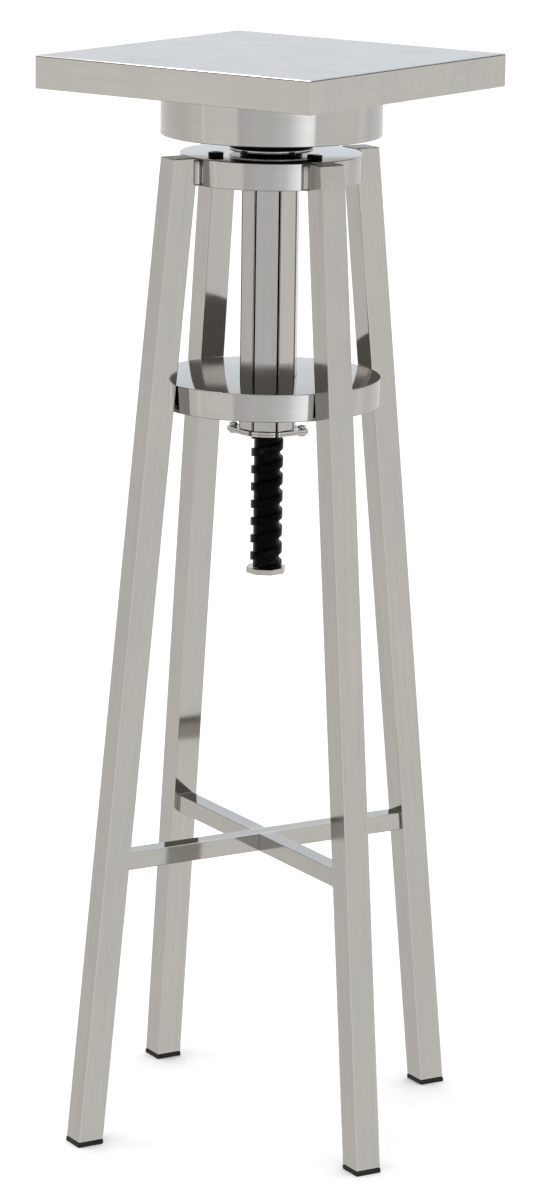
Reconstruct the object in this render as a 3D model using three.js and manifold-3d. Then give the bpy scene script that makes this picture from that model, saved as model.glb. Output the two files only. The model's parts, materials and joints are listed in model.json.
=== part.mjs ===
// Sculpting turntable: a tall stand of polished stainless steel with a square top that spins on a ball
// bearing, and a square-thread screw that raises the top through a nut in the foot of the column.
//
// Millimetres, +Z up. The origin is on the floor, on the axis of the screw and the bearing. The four legs
// stand on the diagonals, and the square top rests turned by PLATTER_TURN.

import * as THREE from 'three';
import { mergeVertices } from 'three/addons/utils/BufferGeometryUtils.js';
import Module from 'manifold-3d';

const wasm = await Module();
wasm.setup();

// ---------------------------------------------------------------------------------------------------
// Driving dimensions
// ---------------------------------------------------------------------------------------------------

const GAP = 0.3; // between fixed pieces that touch on the real object
const FINE = 48; // sides of a large circle
const MEDIUM = 32;
const COARSE = 16;
const SMALL = 8; // sides of a bolt's shank and its hole

// Legs: square tube, splayed on the diagonals, cut level at both ends
const LEG_ANGLES = { fl: -135, fr: -45, br: 45, bl: 135 };
const LEG_SIZE = 30;
const LEG_WALL = 2;
const LEG_FOOT_RADIUS = 225.4; // centre of a leg at floor level
const LEG_LEAN = 0.10114; // inward per unit of height
const LEG_TOP = 1099;
const LEG_RADIAL = LEG_SIZE * Math.hypot(1, LEG_LEAN); // level section, across the lean
const CAP_THICKNESS = 3;
const PAD_HEIGHT = 5;
const PAD_PROUD = 0.5;
const PAD_PLUG = 15;

// Cross bars: square tube, level, one whole and two halves butted against it
const BAR_SIZE = 20;
const BAR_WALL = 1.5;
const BAR_TOP = 332;

// Upper ring and lower plate: shallow trays with a cover let in from below
const SHEET = 2.5;
const COVER = 2;
const RING_RADIUS = 99.5;
const RING_TOP = 1098.5;
const RING_BOTTOM = 1069;
const PLATE_RADIUS = 123.8;
const PLATE_TOP = 852.5;
const PLATE_BOTTOM = 822.5;
const RING_SCREW_CIRCLE = 73;
const RING_SCREW_ANGLES = [-130.5, -35.5, 97];
const RING_SCREW_HEAD_RADIUS = 8.4;
const RING_SCREW_HEAD = 4.4;
const RING_SCREW_SHANK = 4;
const RING_SCREW_DEPTH = 14;

// Column: square tube with broad chamfers, and a groove along each of its eight corners
const COLUMN_SIZE = 60.6;
const COLUMN_FACE = 27.4;
const COLUMN_WALL = 4;
const COLUMN_TURN = 8.5;
const COLUMN_BOTTOM = 794;
const GROOVE_WIDTH = 3;
const GROOVE_DEPTH = 2;

// Flanged joint at the foot of the column: two thin flanges with an ear on each side, bolted together
const FLANGE_RADIUS = 35;
const FLANGE_THICKNESS = 2.4;
const EAR_DISTANCE = 38.5;
const EAR_RADIUS = 7;
const EAR_TURN = 3.5;
const FLANGE_BOLT_FLATS = 8;
const FLANGE_BOLT_SHANK = 2.4;
const FLANGE_BOLT_HEAD = 2.4;
const FLANGE_NUT_HEIGHT = 3.4;

// Screw and nut: single start, square thread, right hand
const PITCH = 19.5;
const MAJOR_RADIUS = 17.75;
const MINOR_RADIUS = 14.65;
const RIDGE_WIDTH = 9.5;
const RIDGE_HEIGHT_AT_X = 755.5; // height of one ridge's centre, in the +X direction
const STEPS_PER_TURN = 12;
const SCREW_BOTTOM = 637.3;
const THREAD_TOP = 1101;
const NECK_RADIUS = 16;
const STUB_RADIUS = 12;
const PIN_RADIUS = 7;
const NUT_RADIUS = 24;
const NUT_TOP = 851;
const THREAD_SIDE_CLEARANCE = 0.4;
const NUT_MAJOR_RADIUS = 18.7;
const NUT_MINOR_RADIUS = 15.4;
const BUSH_BORE = 18.45;
const BUSH_FLANGE_RADIUS = 34;
const BUSH_FLANGE_TOP = 1101;

// End stop under the screw
const STOP_FLATS = 42;
const STOP_BOTTOM = 631;
const STOP_THICKNESS = 6;
const STOP_SCREW_HEAD_RADIUS = 8.6;
const STOP_SCREW_RADIUS = 5;

// Washer, hub and drum
const WASHER_RADIUS = 46;
const WASHER_BORE = 16.7;
const WASHER_BOTTOM = 1101.3;
const WASHER_THICKNESS = 3.5;
const HUB_RADIUS = 45.5;
const DRUM_RADIUS = 121;
const DRUM_BOTTOM = 1118.6;
const DRUM_TOP = 1167.5;
const DRUM_WALL = 2.4;
const DRUM_LIP = 9;
const NECK_CLEARANCE = 0.3;
const TURN_PLATE_RADIUS = 112;
const TURN_PLATE_THICKNESS = 8;
const SPINDLE_NUT_FLATS = 36;
const SPINDLE_NUT_HEIGHT = 10;

// Bearing between drum and top
const BALL_CIRCLE = 80;
const BALL_COUNT = 12;
const BALL_RADIUS = 5;
const RACE_RADIUS = 5.5;
const RACE_INNER = 62;
const RACE_OUTER = 98;
const RACE_GAP = 6; // between the two races
const RACE_THICKNESS = 11.4;
const CAGE_INNER = 71;
const CAGE_OUTER = 89;
const CAGE_THICKNESS = 3.2;

// Top: folded tray, stiffening board and carrier
const PLATTER_SIZE = 365;
const PLATTER_TOP = 1205;
const PLATTER_BOTTOM = 1169;
const PLATTER_SHEET = 2;
const PLATTER_LIP = 18;
const PLATTER_TURN = -21.6;
const CARRIER_RADIUS = 100;
const CARRIER_SCREW_CIRCLE = 50;
const CARRIER_SCREW_RADIUS = 3;
const CARRIER_SCREW_HEAD = 6;
const CARRIER_SCREW_HEAD_HEIGHT = 3.8;
const CARRIER_SCREW_TOP = 1188;
const KING_NUT_FLATS = 22;
const KING_NUT_HEIGHT = 9;
const KING_NUT_PLAY = 0.5;
const CORE_POCKET_RADIUS = 20;
const CORE_POCKET_TOP = 1192;

// ---------------------------------------------------------------------------------------------------
// Materials
// ---------------------------------------------------------------------------------------------------

function finish(color, roughness, metalness) {
  return new THREE.MeshStandardMaterial({ color, roughness, metalness });
}

const POLISHED = finish(0xb9b5ae, 0.14, 1);
const SATIN = finish(0xa7a5a1, 0.32, 1);
const BLACK_STEEL = finish(0x161616, 0.45, 0.8);
const BLACK_RUBBER = finish(0x111111, 0.8, 0);
const BOARD = finish(0xb08a5c, 0.75, 0);

// ---------------------------------------------------------------------------------------------------
// Solids
// ---------------------------------------------------------------------------------------------------

const radians = THREE.MathUtils.degToRad;

// A closed geometry as an exact solid: shared vertices merged, slivers dropped, faces turned outward.
function solid(geometry) {
  const plain = geometry.index ? geometry.toNonIndexed() : geometry;
  plain.deleteAttribute('normal');
  plain.deleteAttribute('uv');
  const merged = mergeVertices(plain, 1e-4);
  const corners = merged.getAttribute('position');
  const [a, b, c] = [new THREE.Vector3(), new THREE.Vector3(), new THREE.Vector3()];
  const triangles = [];
  let volume = 0;
  for (let i = 0; i < merged.index.count; i += 3) {
    const [p, q, r] = [0, 1, 2].map((k) => merged.index.getX(i + k));
    if (p === q || q === r || r === p) continue;
    triangles.push([p, q, r]);
    volume += a.fromBufferAttribute(corners, p).dot(
      b.fromBufferAttribute(corners, q).cross(c.fromBufferAttribute(corners, r)));
  }
  const outward = volume < 0 ? triangles.map(([p, q, r]) => [p, r, q]) : triangles;
  return new wasm.Manifold(new wasm.Mesh({
    numProp: 3,
    vertProperties: new Float32Array(corners.array),
    triVerts: new Uint32Array(outward.flat()),
  }));
}

// A solid as a named mesh of the model.
function piece(name, shape, material, turn = 0) {
  const raw = shape.getMesh();
  const geometry = new THREE.BufferGeometry();
  geometry.setAttribute('position', new THREE.BufferAttribute(raw.vertProperties, 3));
  geometry.setIndex(new THREE.BufferAttribute(raw.triVerts, 1));
  const mesh = new THREE.Mesh(geometry, material);
  mesh.name = name;
  mesh.rotation.z = radians(turn);
  return mesh;
}

const moved = (geometry, x, y, z) => solid(geometry.translate(x, y, z));

// A block centred on the axis.
function block(width, depth, bottom, top) {
  return moved(new THREE.BoxGeometry(width, depth, top - bottom), 0, 0, (top + bottom) / 2);
}

// An upright cylinder, or a prism with few sides. A prism's corner lies at angle `turn`.
function cylinder(radius, bottom, top, { sides = FINE, turn = 0, x = 0, y = 0 } = {}) {
  const geometry = new THREE.CylinderGeometry(radius, radius, top - bottom, sides);
  geometry.rotateX(Math.PI / 2).rotateZ(radians(turn));
  return moved(geometry, x, y, (top + bottom) / 2);
}

const acrossFlats = (flats, sides) => flats / 2 / Math.cos(Math.PI / sides);

// A closed outline of [radius, height] points turned about the axis.
function turned(outline, sides = FINE) {
  const points = [...outline, outline[0]].map(([radius, height]) => new THREE.Vector2(radius, height));
  return solid(new THREE.LatheGeometry(points, sides).rotateX(Math.PI / 2));
}

// An outline of [x, y] points raised between two heights.
function raised(outline, bottom, top) {
  const shape = new THREE.Shape(outline.map(([x, y]) => new THREE.Vector2(x, y)));
  const geometry = new THREE.ExtrudeGeometry(shape, { depth: top - bottom, bevelEnabled: false });
  return moved(geometry, 0, 0, bottom);
}

const around = (radius, angle) => [radius * Math.cos(radians(angle)), radius * Math.sin(radians(angle))];

const joined = (first, ...others) => others.reduce((sum, other) => sum.add(other), first);
const cut = (first, ...others) => others.reduce((rest, other) => rest.subtract(other), first);

// A single-start, right-hand, square thread as a solid rod. One ridge's centre is at `heightAtX` at angle 0.
// Its four edges are helices, and the rod is made a turn too long at each end and then cut to length.
function threadedRod(major, minor, ridgeWidth, heightAtX, bottom, top) {
  const firstStep = Math.floor((bottom - heightAtX) / PITCH - 2) * STEPS_PER_TURN;
  const lastStep = Math.ceil((top - heightAtX) / PITCH + 2) * STEPS_PER_TURN;
  const profile = [[minor, -1], [major, -1], [major, 1], [minor, 1]];
  const positions = [];
  for (let step = firstStep; step <= lastStep; step += 1) {
    const turns = step / STEPS_PER_TURN;
    for (const [radius, side] of profile) {
      const [x, y] = around(radius, turns * 360);
      positions.push(x, y, heightAtX + turns * PITCH + (side * ridgeWidth) / 2);
    }
  }
  const corner = (step, index) => step * 4 + index;
  const faces = [];
  const quad = (a, b, c, d) => faces.push(a, b, c, a, c, d);
  const stepCount = lastStep - firstStep;
  for (let step = 0; step < stepCount; step += 1) {
    for (let index = 0; index < 3; index += 1) {
      const next = index + 1;
      quad(corner(step, index), corner(step + 1, index), corner(step + 1, next), corner(step, next));
    }
    const above = step + STEPS_PER_TURN;
    if (above < stepCount) quad(corner(step, 3), corner(step + 1, 3), corner(above + 1, 0), corner(above, 0));
  }
  const lowEnd = positions.length / 3;
  const highEnd = lowEnd + 1;
  positions.push(0, 0, bottom - PITCH, 0, 0, top + PITCH);
  const lastTurn = stepCount - STEPS_PER_TURN;
  for (let step = 0; step < STEPS_PER_TURN; step += 1) {
    faces.push(lowEnd, corner(step + 1, 0), corner(step, 0));
    faces.push(highEnd, corner(lastTurn + step, 3), corner(lastTurn + step + 1, 3));
  }
  const lowLoop = [corner(0, 0), corner(0, 1), corner(0, 2), corner(0, 3), corner(STEPS_PER_TURN, 0)];
  const highLoop = [corner(stepCount, 3), corner(stepCount, 2), corner(stepCount, 1), corner(stepCount, 0),
    corner(lastTurn, 3)];
  for (let i = 0; i < 4; i += 1) {
    faces.push(lowEnd, lowLoop[i], lowLoop[i + 1]);
    faces.push(highEnd, highLoop[i], highLoop[i + 1]);
  }
  const geometry = new THREE.BufferGeometry();
  geometry.setAttribute('position', new THREE.Float32BufferAttribute(positions, 3));
  geometry.setIndex(faces);
  return solid(geometry).intersect(block(4 * major, 4 * major, bottom, top));
}

// ---------------------------------------------------------------------------------------------------
// Legs, caps, pads and cross bars
// ---------------------------------------------------------------------------------------------------

// The space between two heights of a leg, with its faces moved outward by `grow`. The leg leans along X.
function legSpace(bottom, top, grow = 0) {
  const size = [LEG_RADIAL + 2 * grow, LEG_SIZE + 2 * grow, top - bottom];
  const geometry = new THREE.BoxGeometry(...size).translate(LEG_FOOT_RADIUS, 0, (top + bottom) / 2);
  return solid(geometry.applyMatrix4(new THREE.Matrix4().makeShear(0, 0, 0, 0, -LEG_LEAN, 0)));
}

const turnedBy = (shape, angle) => shape.rotate([0, 0, angle]);

// Everything within one leg's outer faces plus the usual gap, for trimming what meets the leg.
const legTrims = Object.values(LEG_ANGLES).map(
  (angle) => turnedBy(legSpace(0, LEG_TOP + PAD_HEIGHT, GAP), angle),
);

function leg() {
  return cut(legSpace(PAD_HEIGHT + GAP, LEG_TOP), legSpace(0, LEG_TOP + PAD_HEIGHT, -LEG_WALL));
}

function legCap() {
  return legSpace(LEG_TOP - CAP_THICKNESS, LEG_TOP, -LEG_WALL - GAP);
}

function footPad() {
  return joined(legSpace(0, PAD_HEIGHT, PAD_PROUD), legSpace(1, PAD_HEIGHT + PAD_PLUG, -LEG_WALL - GAP));
}

// A square tube along X between two distances from the axis.
function barTube(from, to) {
  const middle = (from + to) / 2;
  const inside = BAR_SIZE - 2 * BAR_WALL;
  const outer = new THREE.BoxGeometry(to - from, BAR_SIZE, BAR_SIZE);
  const inner = new THREE.BoxGeometry(to - from + 2, inside, inside);
  const height = BAR_TOP - BAR_SIZE / 2;
  return cut(moved(outer, middle, 0, height), moved(inner, middle, 0, height));
}

function crossBar() {
  const trims = [legSpace(0, LEG_TOP, GAP), turnedBy(legSpace(0, LEG_TOP, GAP), 180)];
  return cut(barTube(-LEG_FOOT_RADIUS + LEG_SIZE, LEG_FOOT_RADIUS - LEG_SIZE), ...trims);
}

function crossArm() {
  return cut(barTube(BAR_SIZE / 2 + GAP, LEG_FOOT_RADIUS - LEG_SIZE), legSpace(0, LEG_TOP, GAP));
}

// ---------------------------------------------------------------------------------------------------
// Column and the two discs
// ---------------------------------------------------------------------------------------------------

// The column's eight-cornered outline, moved inward by `inset`.
function columnOutline(inset = 0) {
  const half = COLUMN_SIZE / 2 - inset;
  const face = COLUMN_FACE / 2 - inset * Math.tan(Math.PI / 8);
  const corners = [[half, -face], [half, face], [face, half], [-face, half],
    [-half, face], [-half, -face], [-face, -half], [face, -half]];
  return corners;
}

const columnSpace = (inset, bottom, top) => turnedBy(raised(columnOutline(inset), bottom, top), COLUMN_TURN);

function column() {
  const top = RING_BOTTOM - GAP;
  const tube = cut(columnSpace(0, COLUMN_BOTTOM + GAP, top), columnSpace(COLUMN_WALL, 0, LEG_TOP));
  const grooves = columnOutline().map(([x, y]) => {
    const distance = Math.hypot(x, y) - GROOVE_DEPTH + 5;
    const cutter = new THREE.BoxGeometry(10, GROOVE_WIDTH, LEG_TOP).translate(distance, 0, LEG_TOP / 2);
    return turnedBy(solid(cutter), THREE.MathUtils.radToDeg(Math.atan2(y, x)) + COLUMN_TURN);
  });
  return cut(tube, ...grooves);
}

// A round tray, open below, trimmed against the legs.
function tray(radius, bottom, top) {
  const shell = cut(cylinder(radius, bottom, top), cylinder(radius - SHEET, bottom - 1, top - SHEET));
  return cut(shell, ...legTrims);
}

// The cover let into a tray from below.
function trayCover(radius, bottom) {
  return cut(cylinder(radius - SHEET - GAP, bottom, bottom + COVER), ...legTrims);
}

function upperRing() {
  const holes = RING_SCREW_ANGLES.map((angle) => {
    const [x, y] = around(RING_SCREW_CIRCLE, angle);
    return cylinder(RING_SCREW_SHANK + GAP, RING_BOTTOM, LEG_TOP, { sides: COARSE, x, y });
  });
  return cut(tray(RING_RADIUS, RING_BOTTOM, RING_TOP), cylinder(NUT_RADIUS + GAP, 0, LEG_TOP), ...holes);
}

const ringCover = () => cut(trayCover(RING_RADIUS, RING_BOTTOM), cylinder(NUT_RADIUS + GAP, 0, LEG_TOP));
const lowerPlate = () => cut(tray(PLATE_RADIUS, PLATE_BOTTOM, PLATE_TOP), columnSpace(-GAP, 0, LEG_TOP));
const plateCover = () => cut(trayCover(PLATE_RADIUS, PLATE_BOTTOM), columnSpace(-GAP, 0, LEG_TOP));

function hexBolt(flats, headBottom, headTop, shankRadius, shankEnd, [x, y], turn) {
  const shankInHead = (headBottom + headTop) / 2;
  const head = cylinder(acrossFlats(flats, 6), headBottom, headTop, { sides: 6, turn, x, y });
  const [low, high] = [Math.min(shankEnd, shankInHead), Math.max(shankEnd, shankInHead)];
  return joined(head, cylinder(shankRadius, low, high, { sides: SMALL, x, y }));
}

// A screw with a flat round head in the top of the ring.
function ringScrew(angle) {
  const [x, y] = around(RING_SCREW_CIRCLE, angle);
  const seat = RING_TOP + GAP;
  const head = cylinder(RING_SCREW_HEAD_RADIUS, seat, seat + RING_SCREW_HEAD, { sides: COARSE, x, y });
  const shankEnd = RING_TOP - RING_SCREW_DEPTH;
  return joined(head, cylinder(RING_SCREW_SHANK, shankEnd, seat + 1, { sides: SMALL, x, y }));
}

// ---------------------------------------------------------------------------------------------------
// Flanged joint, lift nut and guide bush
// ---------------------------------------------------------------------------------------------------

const COLUMN_FLANGE_BOTTOM = COLUMN_BOTTOM - FLANGE_THICKNESS;
const NUT_FLANGE_TOP = COLUMN_FLANGE_BOTTOM - GAP;
const NUT_FLANGE_BOTTOM = NUT_FLANGE_TOP - FLANGE_THICKNESS;
const earAngles = [EAR_TURN, EAR_TURN + 180];

// A round flange drawn out into an ear on each side: four arcs joined by their common tangents.
function earedFlange(bottom, top) {
  const tangent = THREE.MathUtils.radToDeg(Math.acos((FLANGE_RADIUS - EAR_RADIUS) / EAR_DISTANCE));
  const outline = [];
  const arc = (centre, radius, from, to, steps) => {
    for (let step = 0; step <= steps; step += 1) {
      const [x, y] = around(radius, from + ((to - from) * step) / steps);
      outline.push([centre + x, y]);
    }
  };
  arc(EAR_DISTANCE, EAR_RADIUS, -tangent, tangent, 5);
  arc(0, FLANGE_RADIUS, tangent, 180 - tangent, 8);
  arc(-EAR_DISTANCE, EAR_RADIUS, 180 - tangent, 180 + tangent, 5);
  arc(0, FLANGE_RADIUS, 180 + tangent, 360 - tangent, 8);
  const holes = earAngles.map((angle) => {
    const [x, y] = around(EAR_DISTANCE, angle);
    return cylinder(FLANGE_BOLT_SHANK + GAP, bottom - 1, top + 1, { sides: SMALL, x, y });
  });
  return cut(turnedBy(raised(outline, bottom, top), EAR_TURN), ...holes);
}

function columnFlange() {
  return cut(earedFlange(COLUMN_FLANGE_BOTTOM, COLUMN_BOTTOM), cylinder(NUT_RADIUS + GAP, 0, LEG_TOP));
}

function liftNut() {
  const body = cylinder(NUT_RADIUS, NUT_FLANGE_BOTTOM, NUT_TOP, { sides: MEDIUM });
  const grooveWidth = RIDGE_WIDTH + 2 * THREAD_SIDE_CLEARANCE;
  const thread = threadedRod(NUT_MAJOR_RADIUS, NUT_MINOR_RADIUS, grooveWidth, RIDGE_HEIGHT_AT_X,
    NUT_FLANGE_BOTTOM - 1, NUT_TOP + 1);
  return cut(joined(body, earedFlange(NUT_FLANGE_BOTTOM, NUT_FLANGE_TOP)), thread);
}

function flangeBolt(angle) {
  const headTop = NUT_FLANGE_BOTTOM - GAP;
  const shankEnd = COLUMN_BOTTOM + FLANGE_NUT_HEIGHT + 1;
  return hexBolt(FLANGE_BOLT_FLATS, headTop - FLANGE_BOLT_HEAD, headTop, FLANGE_BOLT_SHANK, shankEnd,
    around(EAR_DISTANCE, angle), angle);
}

function flangeNut(angle) {
  const [x, y] = around(EAR_DISTANCE, angle);
  const [bottom, top] = [COLUMN_BOTTOM + GAP, COLUMN_BOTTOM + GAP + FLANGE_NUT_HEIGHT];
  const body = cylinder(acrossFlats(FLANGE_BOLT_FLATS, 6), bottom, top, { sides: 6, turn: angle, x, y });
  return cut(body, cylinder(FLANGE_BOLT_SHANK + GAP, bottom - 1, top + 1, { sides: SMALL, x, y }));
}

function guideBush() {
  return turned([
    [BUSH_BORE, RING_BOTTOM - 1], [NUT_RADIUS, RING_BOTTOM - 1], [NUT_RADIUS, RING_TOP + GAP],
    [BUSH_FLANGE_RADIUS, RING_TOP + GAP], [BUSH_FLANGE_RADIUS, BUSH_FLANGE_TOP], [BUSH_BORE, BUSH_FLANGE_TOP],
  ], MEDIUM);
}

// ---------------------------------------------------------------------------------------------------
// Screw, end stop, washer, hub and drum
// ---------------------------------------------------------------------------------------------------

const TURN_PLATE_BOTTOM = DRUM_BOTTOM + DRUM_WALL + GAP;
const TURN_PLATE_TOP = TURN_PLATE_BOTTOM + TURN_PLATE_THICKNESS;
const LOWER_RACE_BOTTOM = TURN_PLATE_TOP + GAP;
const LOWER_RACE_TOP = LOWER_RACE_BOTTOM + RACE_THICKNESS;
const BALL_HEIGHT = LOWER_RACE_TOP + RACE_GAP / 2;
const UPPER_RACE_BOTTOM = LOWER_RACE_TOP + RACE_GAP;
const UPPER_RACE_TOP = UPPER_RACE_BOTTOM + RACE_THICKNESS;
const CARRIER_BOTTOM = UPPER_RACE_TOP + GAP;
const CORE_BOTTOM = PLATTER_BOTTOM + PLATTER_SHEET + GAP;
const CARRIER_TOP = CORE_BOTTOM - GAP;
const KING_NUT_BOTTOM = CARRIER_TOP + KING_NUT_PLAY;

function screwSpindle() {
  const stubTop = TURN_PLATE_TOP + SPINDLE_NUT_HEIGHT + 5;
  const thread = threadedRod(MAJOR_RADIUS, MINOR_RADIUS, RIDGE_WIDTH, RIDGE_HEIGHT_AT_X,
    SCREW_BOTTOM, THREAD_TOP);
  const shoulder = cylinder(MAJOR_RADIUS, THREAD_TOP - 3, THREAD_TOP, { sides: COARSE });
  const neck = cylinder(NECK_RADIUS, THREAD_TOP - 1, TURN_PLATE_TOP, { sides: COARSE });
  const stub = cylinder(STUB_RADIUS, TURN_PLATE_TOP - 1, stubTop, { sides: COARSE });
  const pin = cylinder(PIN_RADIUS, stubTop - 1, KING_NUT_BOTTOM + KING_NUT_HEIGHT + 3, { sides: COARSE });
  const tapped = cylinder(STOP_SCREW_RADIUS + GAP, SCREW_BOTTOM - 1, SCREW_BOTTOM + 22, { sides: SMALL });
  return cut(joined(thread, shoulder, neck, stub, pin), tapped);
}

function endStop() {
  const top = STOP_BOTTOM + STOP_THICKNESS;
  const turn = COLUMN_TURN + 22.5;
  const plate = cylinder(acrossFlats(STOP_FLATS, 8), STOP_BOTTOM, top, { sides: 8, turn });
  const recess = cylinder(STOP_SCREW_HEAD_RADIUS + GAP, STOP_BOTTOM - 1, STOP_BOTTOM + 3, { sides: COARSE });
  return cut(plate, recess, cylinder(STOP_SCREW_RADIUS + GAP, STOP_BOTTOM, top + 1, { sides: SMALL }));
}

function stopScrew() {
  const headTop = STOP_BOTTOM + 3 - GAP;
  const head = cylinder(STOP_SCREW_HEAD_RADIUS, STOP_BOTTOM + GAP, headTop, { sides: COARSE });
  return joined(head, cylinder(STOP_SCREW_RADIUS, headTop - 1, SCREW_BOTTOM + 20, { sides: SMALL }));
}

function thrustWasher() {
  const top = WASHER_BOTTOM + WASHER_THICKNESS;
  return turned([[WASHER_BORE, WASHER_BOTTOM], [WASHER_RADIUS, WASHER_BOTTOM], [WASHER_RADIUS, top],
    [WASHER_BORE, top]]);
}

function hub() {
  const bottom = WASHER_BOTTOM + WASHER_THICKNESS + GAP;
  const bore = NECK_RADIUS + NECK_CLEARANCE;
  const top = DRUM_BOTTOM - GAP;
  return turned([[bore, bottom], [HUB_RADIUS, bottom], [HUB_RADIUS, top], [bore, top]]);
}

function drumShell() {
  const bore = NECK_RADIUS + NECK_CLEARANCE;
  const inside = DRUM_RADIUS - DRUM_WALL;
  return turned([
    [bore, DRUM_BOTTOM], [DRUM_RADIUS, DRUM_BOTTOM], [DRUM_RADIUS, DRUM_TOP],
    [DRUM_RADIUS - DRUM_LIP, DRUM_TOP], [DRUM_RADIUS - DRUM_LIP, DRUM_TOP - DRUM_WALL],
    [inside, DRUM_TOP - DRUM_WALL], [inside, DRUM_BOTTOM + DRUM_WALL], [bore, DRUM_BOTTOM + DRUM_WALL],
  ]);
}

function turnPlate() {
  const bore = NECK_RADIUS + NECK_CLEARANCE;
  return turned([[bore, TURN_PLATE_BOTTOM], [TURN_PLATE_RADIUS, TURN_PLATE_BOTTOM],
    [TURN_PLATE_RADIUS, TURN_PLATE_TOP], [bore, TURN_PLATE_TOP]]);
}

function ringNut(flats, boreRadius, bottom, height) {
  const body = cylinder(acrossFlats(flats, 6), bottom, bottom + height, { sides: 6 });
  return cut(body, cylinder(boreRadius + GAP, bottom - 1, bottom + height + 1, { sides: COARSE }));
}

// ---------------------------------------------------------------------------------------------------
// Bearing
// ---------------------------------------------------------------------------------------------------

// One race, a flat ring with a round ball track in the face at `face`; the ring's back is at `back`.
function race(face, back) {
  const towardBack = Math.sign(back - face);
  const halfTrack = Math.sqrt(RACE_RADIUS ** 2 - (RACE_GAP / 2) ** 2);
  const spread = Math.asin(halfTrack / RACE_RADIUS);
  const steps = 4;
  const track = [];
  for (let step = 0; step <= steps; step += 1) {
    const angle = -spread + (2 * spread * step) / steps;
    const depth = RACE_RADIUS * Math.cos(angle) - RACE_GAP / 2;
    track.push([BALL_CIRCLE + RACE_RADIUS * Math.sin(angle), face + towardBack * depth]);
  }
  const outline = [[RACE_INNER, back], [RACE_INNER, face], ...track, [RACE_OUTER, face], [RACE_OUTER, back]];
  return turned(outline, MEDIUM);
}

function ballCage() {
  const [bottom, top] = [BALL_HEIGHT - CAGE_THICKNESS / 2, BALL_HEIGHT + CAGE_THICKNESS / 2];
  const outline = [[CAGE_INNER, bottom], [CAGE_OUTER, bottom], [CAGE_OUTER, top], [CAGE_INNER, top]];
  const cage = turned(outline, MEDIUM);
  const balls = [];
  for (let i = 0; i < BALL_COUNT; i += 1) {
    const [x, y] = around(BALL_CIRCLE, (360 * i) / BALL_COUNT);
    balls.push(moved(new THREE.SphereGeometry(BALL_RADIUS, 10, 6).rotateX(Math.PI / 2), x, y, BALL_HEIGHT));
  }
  return joined(cage, ...balls);
}

// ---------------------------------------------------------------------------------------------------
// Square top
// ---------------------------------------------------------------------------------------------------

const carrierScrewAngles = [0, 90, 180, 270];

function carrierScrewHoles(bottom, top) {
  return carrierScrewAngles.map((angle) => {
    const [x, y] = around(CARRIER_SCREW_CIRCLE, angle);
    return cylinder(CARRIER_SCREW_RADIUS + GAP, bottom, top, { sides: SMALL, x, y });
  });
}

function platterCarrier() {
  const disc = cut(cylinder(CARRIER_RADIUS, CARRIER_BOTTOM, CARRIER_TOP),
    cylinder(PIN_RADIUS + KING_NUT_PLAY, CARRIER_BOTTOM - 1, CARRIER_TOP + 1, { sides: COARSE }));
  return cut(disc, ...carrierScrewHoles(CARRIER_BOTTOM - 1, CARRIER_TOP + 1));
}

function platterShell() {
  const inner = PLATTER_SIZE - 2 * PLATTER_SHEET;
  const opening = PLATTER_SIZE - 2 * PLATTER_LIP;
  return cut(block(PLATTER_SIZE, PLATTER_SIZE, PLATTER_BOTTOM, PLATTER_TOP),
    block(inner, inner, PLATTER_BOTTOM + PLATTER_SHEET, PLATTER_TOP - PLATTER_SHEET),
    block(opening, opening, PLATTER_BOTTOM - 1, PLATTER_BOTTOM + PLATTER_SHEET + 1));
}

function platterCore() {
  const size = PLATTER_SIZE - 2 * PLATTER_SHEET - 2 * GAP;
  const board = block(size, size, CORE_BOTTOM, PLATTER_TOP - PLATTER_SHEET - GAP);
  const pocket = cylinder(CORE_POCKET_RADIUS, CORE_BOTTOM - 1, CORE_POCKET_TOP, { sides: COARSE });
  return cut(board, pocket, ...carrierScrewHoles(CORE_BOTTOM - 1, CARRIER_SCREW_TOP + 2));
}

function carrierScrew(angle) {
  const [x, y] = around(CARRIER_SCREW_CIRCLE, angle);
  const headTop = CARRIER_BOTTOM - GAP;
  const headBottom = headTop - CARRIER_SCREW_HEAD_HEIGHT;
  const head = cylinder(CARRIER_SCREW_HEAD, headBottom, headTop, { sides: COARSE, x, y });
  return joined(head, cylinder(CARRIER_SCREW_RADIUS, headTop - 1, CARRIER_SCREW_TOP, { sides: SMALL, x, y }));
}

// ---------------------------------------------------------------------------------------------------
// Assembly
// ---------------------------------------------------------------------------------------------------

const turntable = new THREE.Group();

const base = new THREE.Group();
turntable.add(base);
for (const [corner, angle] of Object.entries(LEG_ANGLES)) {
  base.add(piece(`leg_${corner}`, leg(), POLISHED, angle));
  base.add(piece(`leg_cap_${corner}`, legCap(), POLISHED, angle));
  base.add(piece(`foot_pad_${corner}`, footPad(), BLACK_RUBBER, angle));
}
base.add(piece('cross_bar', crossBar(), POLISHED, LEG_ANGLES.br));
base.add(piece('cross_arm_fr', crossArm(), POLISHED, LEG_ANGLES.fr));
base.add(piece('cross_arm_bl', crossArm(), POLISHED, LEG_ANGLES.bl));
base.add(piece('upper_ring', upperRing(), POLISHED));
base.add(piece('upper_ring_cover', ringCover(), SATIN));
base.add(piece('lower_plate', lowerPlate(), POLISHED));
base.add(piece('lower_plate_cover', plateCover(), SATIN));
base.add(piece('column', column(), POLISHED));
base.add(piece('column_flange', columnFlange(), POLISHED));
base.add(piece('lift_nut', liftNut(), POLISHED));
base.add(piece('guide_bush', guideBush(), BLACK_STEEL));
RING_SCREW_ANGLES.forEach((angle, i) => {
  base.add(piece(`ring_screw_${i + 1}`, ringScrew(angle), BLACK_STEEL));
});
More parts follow.
